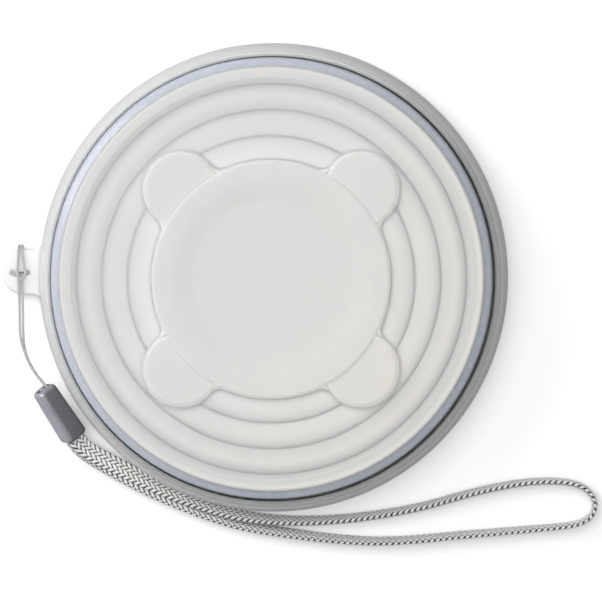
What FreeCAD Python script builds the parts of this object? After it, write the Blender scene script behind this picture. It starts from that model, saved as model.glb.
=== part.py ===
"""Collapsible travel cup, folded flat and lying mouth down in its lid.

Millimetres, +Z up. The origin is the centre of the lid's flat outer face, which lies on the
table, and the lid's strap tab points along -X. Every turned piece shares the Z axis.
"""

import math
import os

import FreeCAD
import Part

Vec = FreeCAD.Vector
UP = Vec(0, 0, 1)

# ---- driving sizes -------------------------------------------------------------------------
TOTAL_HEIGHT = 20.0  # from the table to the folded cup's foot

# Lid: a shallow dish that takes the cup's mouth.
LID_RADIUS = 46.0
LID_PLATE = 1.6
LID_DROP = 3.1  # from the rim ring's top down to the skirt's
LID_DRAFT = 1.7  # how far the skirt leans in from its foot to its top edge
LID_FOOT_RISE = 1.2  # height of the chamfer round the lid's foot
LID_FOOT_INSET = 0.6
LID_EDGE = 0.55  # width of the skirt's flat top edge

# Strap tab on the lid, with a curved slot for the string.
TAB_REACH = 7.3  # past the lid's foot
TAB_RADIUS = 4.2
TAB_THICK = 1.7
TAB_LIFT = 0.95  # clear of the table, for the string to pass below
TAB_SIDE = 1.5  # how far the tab's middle stands from the X axis
TAB_FILLET = 2.2
TAB_SINK = 0.15  # how far the fillets run into the skirt
SLOT_LENGTH = 3.8
SLOT_WIDTH = 0.9
SLOT_SAG = 0.35
SLOT_OFFSET = (-0.6, -0.55)  # slot's middle from the tab's middle

# Rim ring: the hard drinking edge, which the silicone is bonded into.
RIM_WALL = 1.7
RIM_DROP = 1.1  # from the outermost band's crest down to the ring's top
RIM_EDGE_INSET = 2.7  # from the ring's side to its top edge
RIM_SHOULDER = (0.7, 1.2)  # the shoulder's corner, in from the side and down from the top
RIM_SIDE_TOP = 3.2  # where the upright side ends, down from the top
LIP_DEPTH = 3.0
LIP_HEIGHT = 2.4
LIP_ROUND = 0.9
RIM_LID_GAP = 0.35

# Folding wall: four silicone bands round the base cup, one inside another.
CREASE_PITCH = 5.0
OUTER_BAND_WIDTH = 2.9  # from the outermost crease to the rim ring's edge
BAND_COUNT = 4
BAND_WALL = 2.0
CREASE_GAP = 0.3  # from a crease's middle to the band inside it
FLANGE_GAP = 0.25  # from a crease's middle to the flange outside it
FOOT_LEVEL = 7.3
CREST_STEP = 0.5  # each band stands this much above the one outside it
LIP_WIDTH = 1.3
LIP_FALL = 0.9
BAND_RISE = 0.9
FLANGE_THICK = 1.3
MEMBRANE = 0.5
MEMBRANE_GAP = 0.3

# Base cup: the floor, its short wall and the foot that it stands on when open.
FOOT_STAND = 2.8  # from the innermost band's crest up to the foot's level
FLOOR_THICK = 2.2
FOOT_RING_WIDTH = 3.4
FOOT_FLAT = 1.2
FOOT_FALL = 1.1  # the foot ring's rounded outer edge, down from the foot's level
DISH_DEPTH = 0.7
LOBE_RADIUS = 7.4
LOBE_OVERHANG = 1.8  # from the crease round the base cup out to a lobe's middle
LOBE_COUNT = 4
LOBE_GAP = 0.3
LOBE_DROP = 0.6  # from the foot's level to a lobe's top
LOBE_ROUND = 0.5

# Strap bead. It lies rolled and nose up on the table.
BEAD_LENGTH = 11.5
BEAD_SIDE = 4.2
BEAD_ROUND = 0.6
BEAD_END = Vec(-38.95, -31.45, 2.72)  # middle of the end that the strap leaves
BEAD_HEADING = -58.2  # degrees from +X, from the string's end to the strap's
BEAD_PITCH = 8.0
BEAD_ROLL = -28.0
HOLE_RADIUS = 0.72
HOLE_DEPTH = 1.5
HOLE_SPREAD = 0.8  # from the bead's axis to each hole

# Cords. The string runs from the bead to the tab, round the bar beside the slot, and back.
STRING_DIAMETER = 0.56
STRING_ROUTE = [
    (-43.82, -22.78, 3.88), (-45.38, -20.25, 4.3), (-46.95, -17.4, 4.25), (-48.2, -14.55, 3.95),
    (-49.15, -11.4, 3.55), (-49.72, -8.0, 3.2), (-49.92, -4.7, 3.05), (-49.93, -2.2, 3.08),
    (-49.92, -0.7, 3.06), (-49.93, 0.2, 3.12), (-49.93, 0.64, 2.6), (-49.94, 0.62, 0.95),
    (-49.96, 1.12, 0.42), (-49.98, 2.3, 0.36), (-50.02, 3.9, 0.38), (-50.08, 5.5, 0.4),
    (-50.12, 6.28, 1.1), (-50.12, 6.25, 2.5), (-50.13, 5.6, 3.18), (-50.15, 4.3, 3.1),
    (-50.15, 2.8, 3.12), (-50.12, 1.5, 3.45), (-50.1, 0.5, 3.7), (-49.88, -0.05, 3.82),
    (-49.35, -0.32, 3.86), (-48.8, -0.1, 3.82), (-48.55, 0.45, 3.68), (-48.55, 1.5, 3.42),
    (-48.7, 2.9, 3.15), (-48.92, 4.3, 3.1), (-49.05, 5.6, 3.18), (-49.1, 6.27, 2.5),
    (-49.1, 6.3, 1.1), (-49.12, 5.5, 0.4), (-49.2, 3.9, 0.38), (-49.26, 2.3, 0.36),
    (-49.28, 1.12, 0.42), (-49.28, 0.62, 0.95), (-49.27, 0.64, 2.6), (-49.27, 0.2, 3.12),
    (-49.28, -0.7, 3.06), (-49.27, -2.2, 3.08), (-49.28, -4.7, 3.05), (-49.1, -7.95, 3.2),
    (-48.55, -11.25, 3.55), (-47.62, -14.33, 3.9), (-46.4, -17.1, 4.05), (-44.94, -19.93, 4.01),
    (-43.37, -22.46, 3.6),
]
# The strap leaves the bead beside the lid, turns in a loop and comes back into the bead.
STRAP_DIAMETER = 1.0
STRAP_ROUTE = [
    (-38.69, -31.37, 3.2), (-37.65, -33.05, 2.92), (-34.7, -34.9, 2.75), (-31.2, -36.7, 2.6),
    (-27.3, -38.75, 2.45), (-23.5, -40.65, 2.3), (-18.0, -43.1, 2.2), (-12.4, -45.05, 2.1),
    (-6.2, -46.9, 2.05), (1.0, -47.75, 2.0), (8.5, -47.75, 2.0), (16.0, -47.2, 2.0),
    (23.5, -46.1, 2.0), (30.5, -44.65, 2.0), (37.0, -42.7, 2.0), (43.5, -41.1, 2.0),
    (50.0, -40.0, 2.0), (55.8, -39.85, 2.0), (59.8, -40.5, 2.0), (62.2, -42.1, 2.0),
    (63.2, -44.3, 2.0), (62.6, -46.6, 2.0), (60.4, -48.15, 2.0), (56.6, -48.85, 2.0),
    (50.3, -49.35, 2.0), (43.4, -50.0, 2.0), (36.4, -50.55, 2.0), (28.6, -51.4, 2.0),
    (20.7, -51.85, 2.0), (12.7, -51.4, 2.0), (4.9, -50.5, 2.0), (-1.2, -49.55, 2.0),
    (-6.6, -48.5, 2.0), (-12.85, -46.45, 2.0), (-18.45, -44.2, 2.0), (-24.0, -41.65, 2.0),
    (-27.85, -39.6, 1.95), (-31.75, -37.4, 1.85), (-35.25, -35.35, 1.85),
    (-38.16, -33.21, 1.96), (-39.21, -31.53, 2.24),
]

# ---- derived sizes -------------------------------------------------------------------------
def crest(index):
    """Level of a band's crest; band 0 is the one round the base cup."""
    return TOTAL_HEIGHT - FOOT_STAND - CREST_STEP * index


RIM_TOP = crest(BAND_COUNT - 1) - RIM_DROP
LID_HEIGHT = RIM_TOP - LID_DROP
LID_TOP_OUTER = LID_RADIUS - LID_DRAFT
LID_TOP_INNER = LID_TOP_OUTER - LID_EDGE
RIM_RADIUS = LID_TOP_INNER - RIM_LID_GAP
RIM_FOOT = LID_PLATE + RIM_LID_GAP
RIM_INNER = RIM_RADIUS - RIM_WALL
RIM_SHOULDER_LEVEL = RIM_TOP - RIM_SHOULDER[1]
LIP_TOP = RIM_FOOT + LIP_HEIGHT
RIM_EDGE = RIM_RADIUS - RIM_EDGE_INSET


def crease(index):
    """Radius of a crease's middle; crease 0 runs round the base cup."""
    return RIM_EDGE - OUTER_BAND_WIDTH - CREASE_PITCH * (BAND_COUNT - 1 - index)


def flange_bottom(index):
    """Level of the flat underside of a band's flange."""
    return crest(index) - BAND_RISE - FLANGE_THICK


# ---- helpers -------------------------------------------------------------------------------
def turned(*profile):
    """A solid of revolution about Z from (radius, level) corners."""
    points = [Vec(radius, 0, level) for radius, level in profile]
    wire = Part.makePolygon(points + points[:1])
    return Part.Face(wire).revolve(Vec(), UP, 360)


def rounded(solid, radius, chosen):
    """Fillets the edges that the test picks."""
    return solid.makeFillet(radius, [edge for edge in solid.Edges if chosen(edge)])


def circle_at(edge, radius, level):
    """True for a circular edge about Z of this radius at this level."""
    if not isinstance(edge.Curve, Part.Circle):
        return False
    return abs(edge.Curve.Radius - radius) < 1e-4 and abs(edge.Curve.Center.z - level) < 1e-4


def path_of(name, points):
    """Straight runs joined by tangent arcs, each as large as its two runs allow."""
    points = [Vec(*point) for point in points]
    edges = []
    at = points[0]
    radii = []
    for before, corner, after in zip(points, points[1:], points[2:]):
        into = corner - before
        out = after - corner
        trim = 0.45 * min(into.Length, out.Length)
        into.normalize()
        out.normalize()
        half_turn = into.getAngle(out) / 2
        radii.append(trim / math.tan(half_turn))
        start = corner - into * trim
        end = corner + out * trim
        inwards = (out - into).normalize()
        middle = corner + inwards * trim * (1 - math.cos(half_turn)) / math.sin(half_turn)
        edges.append(Part.LineSegment(at, start).toShape())
        edges.append(Part.Arc(start, middle, end).toShape())
        at = end
    edges.append(Part.LineSegment(at, points[-1]).toShape())
    wire = Part.Wire(edges)
    print(f"{name}: length {wire.Length:.1f}, smallest radii", [round(r, 2) for r in sorted(radii)[:6]])
    return wire


def cord(name, points, diameter):
    """A round tube along the route."""
    wire = path_of(name, points)
    start = Vec(*points[0])
    section = Part.Wire(Part.makeCircle(diameter / 2, start, Vec(*points[1]) - start))
    tube = wire.makePipeShell([section], True, True)
    expected = math.pi * diameter**2 / 4 * wire.Length
    print(f"{name}: volume {tube.Volume:.2f}, section times length {expected:.2f}")
    return tube


# ---- lid -----------------------------------------------------------------------------------
def skirt_radius(level):
    """The skirt's outer radius at a level above its foot."""
    return LID_RADIUS - LID_DRAFT * (level - LID_FOOT_RISE) / (LID_HEIGHT - LID_FOOT_RISE)


def tab_middle():
    return Vec(-(LID_RADIUS + TAB_REACH - TAB_RADIUS), TAB_SIDE, 0)


def tab():
    """A round lobe that flows into the skirt through a fillet on each side."""
    middle = tab_middle()
    edge = skirt_radius(TAB_LIFT + TAB_THICK) - TAB_SINK
    # each fillet's centre lies at known distances from the axis and from the lobe's middle
    from_axis = edge + TAB_FILLET
    from_lobe = TAB_RADIUS + TAB_FILLET
    along = (from_axis**2 - from_lobe**2 + middle.Length**2) / (2 * middle.Length)
    across = math.sqrt(from_axis**2 - along**2)
    heading = Vec(middle).normalize()
    side = UP.cross(heading)

    def fillet(sign):
        """The fillet's arc, from the skirt to the lobe."""
        centre = heading * along + side * across * sign
        on_skirt = centre - Vec(centre).normalize() * TAB_FILLET
        on_lobe = centre + (middle - centre).normalize() * TAB_FILLET
        between = ((on_skirt + on_lobe) * 0.5 - centre).normalize()
        return on_skirt, centre + between * TAB_FILLET, on_lobe

    left, right = fillet(1), fillet(-1)
    outline = [
        Part.LineSegment(Vec(), left[0]),
        Part.Arc(*left),
        Part.Arc(left[2], middle + heading * TAB_RADIUS, right[2]),
        Part.Arc(*reversed(right)),
        Part.LineSegment(right[0], Vec()),
    ]
    plan = Part.Face(Part.Wire([curve.toShape() for curve in outline]))
    block = plan.extrude(UP * TAB_THICK)
    block.translate(UP * TAB_LIFT)
    return block


def slot():
    """The string's slot: two matching arcs closed by round ends."""
    middle = tab_middle() + Vec(*SLOT_OFFSET, 0)
    half_width = SLOT_WIDTH / 2
    end = SLOT_LENGTH / 2 - half_width

    def corner(x, y):
        return middle + Vec(x, y, 0)

    low = [corner(-end, -half_width), corner(0, -half_width - SLOT_SAG), corner(end, -half_width)]
    high = [corner(end, half_width), corner(0, half_width - SLOT_SAG), corner(-end, half_width)]
    outline = [
        Part.Arc(*low),
        Part.Arc(low[2], corner(end + half_width, 0), high[0]),
        Part.Arc(*high),
        Part.Arc(high[2], corner(-end - half_width, 0), low[0]),
    ]
    wire = Part.Wire([arc.toShape() for arc in outline])
    return Part.Face(wire).extrude(UP * LID_HEIGHT)


def lid():
    """Round plate, a leaning skirt and the strap tab."""
    dish = turned(
        (0, 0),
        (LID_RADIUS - LID_FOOT_INSET, 0),
        (LID_RADIUS, LID_FOOT_RISE),
        (LID_TOP_OUTER, LID_HEIGHT),
        (LID_TOP_INNER, LID_HEIGHT),
        (LID_TOP_INNER, LID_PLATE),
        (0, LID_PLATE),
    )
    inside = Part.makeCylinder(LID_TOP_INNER, LID_HEIGHT)
    return dish.fuse(tab().cut(inside)).cut(slot()).removeSplitter()


# ---- cup -----------------------------------------------------------------------------------
def rim_ring():
    """The hard drinking edge, with a lip at the mouth and a sloping shoulder above."""
    ring = turned(
        (RIM_RADIUS - LIP_DEPTH, RIM_FOOT),
        (RIM_RADIUS, RIM_FOOT),
        (RIM_RADIUS, RIM_TOP - RIM_SIDE_TOP),
        (RIM_RADIUS - RIM_SHOULDER[0], RIM_SHOULDER_LEVEL),
        (RIM_EDGE, RIM_TOP),
        (RIM_INNER, RIM_SHOULDER_LEVEL),
        (RIM_INNER, LIP_TOP),
        (RIM_RADIUS - LIP_DEPTH, LIP_TOP),
    )
    foot = [RIM_RADIUS - LIP_DEPTH, RIM_RADIUS]
    return rounded(ring, LIP_ROUND, lambda e: any(circle_at(e, r, RIM_FOOT) for r in foot))


def outer_band():
    """The widest silicone band. Its outside follows the rim ring's inside."""
    index = BAND_COUNT - 1
    flange_edge = crease(index) + FLANGE_GAP
    wall_inner = RIM_INNER - BAND_WALL
    return turned(
        (flange_edge, flange_bottom(index)),
        (flange_edge, crest(index) - BAND_RISE),
        (RIM_EDGE - LIP_WIDTH, crest(index)),
        (RIM_EDGE, RIM_TOP),
        (RIM_INNER, RIM_SHOULDER_LEVEL),
        (RIM_INNER, LIP_TOP),
        (wall_inner, LIP_TOP),
        (wall_inner, flange_bottom(index)),
    )


def inner_band(index):
    """A silicone band: an upright wall with a flange that reaches in to the next crease."""
    flange_edge = crease(index) + FLANGE_GAP
    wall_outer = crease(index + 1) - CREASE_GAP
    wall_inner = wall_outer - BAND_WALL
    return turned(
        (flange_edge, flange_bottom(index)),
        (flange_edge, crest(index) - BAND_RISE),
        (wall_outer - LIP_WIDTH, crest(index)),
        (wall_outer, crest(index) - LIP_FALL),
        (wall_outer, FOOT_LEVEL),
        (wall_inner, FOOT_LEVEL),
        (wall_inner, flange_bottom(index)),
    )


def fold(index):
    """The thin membrane that hangs from a band's flange and turns in below the next foot."""
    outside = crease(index) - CREASE_GAP + MEMBRANE_GAP + MEMBRANE
    inside = outside - MEMBRANE
    toe = crease(index) - CREASE_GAP - BAND_WALL / 2
    toe_top = FOOT_LEVEL - MEMBRANE_GAP
    return turned(
        (outside, flange_bottom(index)),
        (outside, toe_top - MEMBRANE),
        (toe, toe_top - MEMBRANE),
        (toe, toe_top),
        (inside, toe_top),
        (inside, flange_bottom(index)),
    )


def base_cup():
    """Floor, short wall, foot ring and the four lobes that steady the open cup."""
    wall_outer = crease(0) - CREASE_GAP
    wall_inner = wall_outer - BAND_WALL
    dish_level = TOTAL_HEIGHT - DISH_DEPTH
    flat_outer = wall_outer - FOOT_FALL
    body = turned(
        (0, dish_level - FLOOR_THICK),
        (0, dish_level),
        (wall_outer - FOOT_RING_WIDTH, dish_level),
        (flat_outer - FOOT_FLAT, TOTAL_HEIGHT),
        (flat_outer, TOTAL_HEIGHT),
        (wall_outer, TOTAL_HEIGHT - FOOT_FALL),
        (wall_outer, FOOT_LEVEL),
        (wall_inner, FOOT_LEVEL),
        (wall_inner, dish_level - FLOOR_THICK),
    )
    for number in range(LOBE_COUNT):
        body = body.fuse(lobe(number))
    return body.removeSplitter()


def lobe(number):
    """A round pad that reaches out over the bands beside the base cup."""
    angle = 2 * math.pi * (number + 0.5) / LOBE_COUNT
    middle = Vec(math.cos(angle), math.sin(angle), 0) * (crease(0) + LOBE_OVERHANG)
    bottom = crest(0) + LOBE_GAP
    top = TOTAL_HEIGHT - LOBE_DROP
    pad = Part.makeCylinder(LOBE_RADIUS, top - bottom, middle + UP * bottom)
    pad = rounded(pad, LOBE_ROUND, lambda e: circle_at(e, LOBE_RADIUS, top))
    return pad.cut(Part.makeCylinder(crease(0) - CREASE_GAP - BAND_WALL, top))


# ---- strap ---------------------------------------------------------------------------------
def bead():
    """The strap's moulded bead, with two blind holes in the string's end."""
    half = BEAD_SIDE / 2
    body = Part.makeBox(BEAD_LENGTH, BEAD_SIDE, BEAD_SIDE, Vec(-BEAD_LENGTH, -half, -half))
    body = body.makeFillet(BEAD_ROUND, body.Edges)
    for side in (-HOLE_SPREAD, HOLE_SPREAD):
        start = Vec(-BEAD_LENGTH, side, 0)
        body = body.cut(Part.makeCylinder(HOLE_RADIUS, HOLE_DEPTH, start, Vec(1, 0, 0)))
    turn = FreeCAD.Rotation(BEAD_HEADING, BEAD_PITCH, BEAD_ROLL)
    body.Placement = FreeCAD.Placement(BEAD_END, turn)
    return body


# ---- output --------------------------------------------------------------------------------
PIECES = {
    "lid": lid(),
    "rim_ring": rim_ring(),
    "wall_band_4": outer_band(),
    "wall_band_3": inner_band(2),
    "wall_band_2": inner_band(1),
    "wall_band_1": inner_band(0),
    "base_cup": base_cup(),
    "fold_4": fold(3),
    "fold_3": fold(2),
    "fold_2": fold(1),
    "fold_1": fold(0),
    "string": cord("string", STRING_ROUTE, STRING_DIAMETER),
    "strap_bead": bead(),
    "strap": cord("strap", STRAP_ROUTE, STRAP_DIAMETER),
}

os.makedirs("parts", exist_ok=True)
for name, shape in PIECES.items():
    shape.exportStep(f"parts/{name}.step")
    print(f"{name}: {len(shape.Solids)} solid, {shape.Volume:.1f} mm3, valid {shape.isValid()}")
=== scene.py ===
"""Looks of the collapsible travel cup, folded and lying mouth down in its lid.

Lengths are in millimetres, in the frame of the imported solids, and are turned into metres where a
mesh is made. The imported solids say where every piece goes.
"""

import math

import bmesh
import bpy
import numpy as np
from mathutils import Matrix, Vector, noise


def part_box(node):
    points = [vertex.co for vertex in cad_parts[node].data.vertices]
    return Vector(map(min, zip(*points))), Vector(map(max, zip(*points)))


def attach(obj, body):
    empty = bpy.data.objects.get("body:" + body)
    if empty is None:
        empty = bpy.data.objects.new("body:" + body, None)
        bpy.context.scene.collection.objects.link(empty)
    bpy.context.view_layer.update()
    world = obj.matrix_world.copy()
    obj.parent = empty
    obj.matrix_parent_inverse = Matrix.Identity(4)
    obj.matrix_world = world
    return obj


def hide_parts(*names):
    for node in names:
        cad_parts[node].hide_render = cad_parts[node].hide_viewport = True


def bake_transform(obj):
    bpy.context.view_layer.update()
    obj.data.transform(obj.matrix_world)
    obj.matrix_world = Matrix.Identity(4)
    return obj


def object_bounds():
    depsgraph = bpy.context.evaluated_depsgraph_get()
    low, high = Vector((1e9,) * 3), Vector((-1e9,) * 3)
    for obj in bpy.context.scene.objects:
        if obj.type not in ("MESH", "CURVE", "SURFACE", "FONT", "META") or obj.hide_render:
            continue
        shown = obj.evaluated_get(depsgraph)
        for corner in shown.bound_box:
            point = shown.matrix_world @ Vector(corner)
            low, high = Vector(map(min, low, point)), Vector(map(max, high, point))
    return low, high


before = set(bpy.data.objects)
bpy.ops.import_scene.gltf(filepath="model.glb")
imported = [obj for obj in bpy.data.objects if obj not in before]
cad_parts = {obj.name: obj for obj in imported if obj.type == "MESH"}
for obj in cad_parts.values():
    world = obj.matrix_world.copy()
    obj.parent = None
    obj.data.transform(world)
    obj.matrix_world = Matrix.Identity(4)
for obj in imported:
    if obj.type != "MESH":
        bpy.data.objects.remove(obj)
cad_low, cad_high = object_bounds()

MM = 0.001
TURN = 2 * math.pi

# ---- sizes shared by several pieces ---------------------------------------------------------
SEGMENTS = 384  # round every turned piece
BANDS = (4, 3, 2, 1)  # from the rim ring to the base cup
BAND_WALL = 2.0
CREASE_TO_WALL = 0.3  # from a crease's middle to the band inside it
CREASE_TO_FLANGE = -0.16  # the flange's edge hides the fold below it
CREASE_TO_FOLD = 0.5  # from a crease's middle to its fold's outside
FLANGE = 2.2  # a flange's underside, down from the crest
CUP_LIE = (-0.2, 0.15, 0)  # the cup rests against the upper left of the lid's wall

# ---- the cords' routes, in metres -----------------------------------------------------------
STRING_ROUTE = [
    (-0.04359, -0.02250, 0.00510), (-0.04465, -0.02090, 0.00545), (-0.04597, -0.01948, 0.00540),
    (-0.04756, -0.01722, 0.00510), (-0.04880, -0.01432, 0.00450), (-0.04966, -0.01138, 0.00385),
    (-0.04969, -0.00800, 0.00330), (-0.04976, -0.00470, 0.00305), (-0.04986, -0.00220, 0.00308),
    (-0.04992, -0.00070, 0.00306), (-0.04993, 0.00020, 0.00312), (-0.04993, 0.00064, 0.00260),
    (-0.04994, 0.00062, 0.00095), (-0.04996, 0.00112, 0.00042), (-0.04998, 0.00230, 0.00036),
    (-0.05002, 0.00390, 0.00038), (-0.04996, 0.00550, 0.00040), (-0.04988, 0.00628, 0.00110),
    (-0.04988, 0.00625, 0.00250), (-0.04990, 0.00560, 0.00318), (-0.04996, 0.00430, 0.00310),
    (-0.05002, 0.00280, 0.00312), (-0.05008, 0.00150, 0.00345), (-0.05010, 0.00050, 0.00370),
    (-0.04988, -0.00005, 0.00382), (-0.04935, -0.00032, 0.00386), (-0.04880, -0.00010, 0.00382),
    (-0.04855, 0.00045, 0.00368), (-0.04868, 0.00150, 0.00342), (-0.04893, 0.00290, 0.00315),
    (-0.04914, 0.00430, 0.00310), (-0.04922, 0.00560, 0.00318), (-0.04926, 0.00627, 0.00250),
    (-0.04926, 0.00630, 0.00110), (-0.04924, 0.00550, 0.00040), (-0.04920, 0.00390, 0.00038),
    (-0.04926, 0.00230, 0.00036), (-0.04928, 0.00112, 0.00042), (-0.04928, 0.00062, 0.00095),
    (-0.04927, 0.00064, 0.00260), (-0.04927, 0.00020, 0.00312), (-0.04926, -0.00070, 0.00306),
    (-0.04920, -0.00220, 0.00308), (-0.04911, -0.00470, 0.00305), (-0.04905, -0.00795, 0.00322),
    (-0.04902, -0.01128, 0.00362), (-0.04866, -0.01428, 0.00400), (-0.04748, -0.01716, 0.00455),
    (-0.04591, -0.01944, 0.00486), (-0.04462, -0.02087, 0.00490), (-0.04356, -0.02247, 0.00462),
]
STRAP_ROUTE = [
    (-0.03869, -0.03137, 0.00320), (-0.03765, -0.03305, 0.00292), (-0.03470, -0.03490, 0.00275),
    (-0.03120, -0.03670, 0.00260), (-0.02730, -0.03875, 0.00245), (-0.02350, -0.04065, 0.00230),
    (-0.01800, -0.04310, 0.00220), (-0.01240, -0.04505, 0.00210), (-0.00620, -0.04690, 0.00205),
    (0.00100, -0.04775, 0.00200), (0.00850, -0.04775, 0.00200), (0.01600, -0.04720, 0.00200),
    (0.02350, -0.04610, 0.00200), (0.03050, -0.04465, 0.00200), (0.03700, -0.04270, 0.00200),
    (0.04350, -0.04110, 0.00200), (0.05000, -0.04000, 0.00200), (0.05580, -0.03985, 0.00200),
    (0.05980, -0.04050, 0.00200), (0.06220, -0.04210, 0.00200), (0.06320, -0.04430, 0.00200),
    (0.06260, -0.04660, 0.00200), (0.06040, -0.04815, 0.00200), (0.05660, -0.04885, 0.00200),
    (0.05030, -0.04935, 0.00200), (0.04340, -0.05000, 0.00200), (0.03640, -0.05055, 0.00200),
    (0.02860, -0.05140, 0.00200), (0.02070, -0.05185, 0.00200), (0.01270, -0.05140, 0.00200),
    (0.00490, -0.05050, 0.00200), (-0.00120, -0.04955, 0.00200), (-0.00660, -0.04850, 0.00200),
    (-0.01285, -0.04645, 0.00200), (-0.01845, -0.04420, 0.00200), (-0.02400, -0.04165, 0.00200),
    (-0.02785, -0.03960, 0.00195), (-0.03175, -0.03740, 0.00185), (-0.03525, -0.03535, 0.00185),
    (-0.03816, -0.03321, 0.00196), (-0.03921, -0.03153, 0.00224),
]


# ---- mesh making ----------------------------------------------------------------------------
def box(node):
    """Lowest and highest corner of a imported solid, in millimetres."""
    low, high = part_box(node)
    return low / MM, high / MM


def shown(mesh, look):
    """An object for a finished mesh, smooth shaded, with its material."""
    piece = bpy.data.objects.new(mesh.name, mesh)
    bpy.context.scene.collection.objects.link(piece)
    mesh.materials.clear()
    mesh.materials.append(look)
    mesh.shade_smooth()
    return piece


def mesh_of(name, points, faces, merge=True):
    """A mesh in metres from points in millimetres, with its doubles merged and faces outwards."""
    mesh = bpy.data.meshes.new(name)
    mesh.from_pydata((np.asarray(points) * MM).tolist(), [], faces)
    shape = bmesh.new()
    shape.from_mesh(mesh)
    if merge:
        bmesh.ops.remove_doubles(shape, verts=shape.verts, dist=1e-7)
    bmesh.ops.recalc_face_normals(shape, faces=shape.faces)
    shape.to_mesh(mesh)
    shape.free()
    return mesh


def grid_faces(rows, columns, round_rows, round_columns, start=0):
    """Quads over a grid of points, closed on itself in either direction."""
    row = np.arange(rows if round_rows else rows - 1)[:, None]
    column = np.arange(columns if round_columns else columns - 1)[None, :]
    next_row = (row + 1) % rows
    next_column = (column + 1) % columns
    corners = [
        row * columns + column,
        next_row * columns + column,
        next_row * columns + next_column,
        row * columns + next_column,
    ]
    return (np.stack(corners, axis=-1).reshape(-1, 4) + start).tolist()


def softened(corners, steps=7):
    """Rounds an outline's corners: each is (radius, level, how far back the rounding starts)."""
    corners = [np.array(corner, float) for corner in corners]
    count = len(corners)
    outline = []
    for place, corner in enumerate(corners):
        at, trim = corner[:2], corner[2]
        if trim == 0:
            outline.append(at)
            continue
        before = corners[place - 1][:2] - at
        after = corners[(place + 1) % count][:2] - at
        start = at + before * min(0.5, trim / np.linalg.norm(before))
        end = at + after * min(0.5, trim / np.linalg.norm(after))
        for share in np.linspace(0, 1, steps):
            outline.append(start * (1 - share) ** 2 + 2 * at * share * (1 - share) + end * share**2)
    return np.array(outline)


def turned(name, outline, closed=True):
    """Turns a (radius, level) outline round the Z axis. An open one starts and ends on the axis."""
    angles = np.linspace(0, TURN, SEGMENTS, endpoint=False)
    radius, level = outline[:, 0], outline[:, 1]
    rows = np.stack(
        [
            np.cos(angles)[:, None] * radius,
            np.sin(angles)[:, None] * radius,
            np.broadcast_to(level, (SEGMENTS, len(level))),
        ],
        axis=-1,
    )
    faces = grid_faces(SEGMENTS, len(outline), True, closed)
    return mesh_of(name, rows.reshape(-1, 3), faces)


def laid(mesh):
    """Moves a piece of the cup to where the cup lies in the lid."""
    mesh.transform(Matrix.Translation(Vector(CUP_LIE) * MM))
    return mesh


def hand_moulded(mesh, height, size, seed):
    """Raises and lowers a soft piece very slightly, as flexible mouldings lie."""
    offset = Vector((seed * 7.3, seed * 3.1, seed * 1.7))
    for vertex in mesh.vertices:
        place = vertex.co / (size * MM) + offset
        vertex.co.z += noise.noise(place) * height * MM
    return mesh


# ---- materials ------------------------------------------------------------------------------
class Value:
    """A socket of a finish that takes part in arithmetic."""

    def __init__(self, finish, socket):
        self.finish = finish
        self.socket = socket

    def math(self, operation, *terms):
        return self.finish.node("ShaderNodeMath", {"operation": operation}, dict(enumerate(terms)))

    def __add__(self, other):
        return self.math("ADD", self, other)

    __radd__ = __add__

    def __sub__(self, other):
        return self.math("SUBTRACT", self, other)

    def __rsub__(self, other):
        return self.math("SUBTRACT", other, self)

    def __mul__(self, other):
        return self.math("MULTIPLY", self, other)

    __rmul__ = __mul__

    def between(self, low, high):
        """0 below low, 1 above high, and smooth from one to the other."""
        settings = {"interpolation_type": "SMOOTHSTEP"}
        return self.finish.node("ShaderNodeMapRange", settings, {0: self, 1: low, 2: high})


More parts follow.
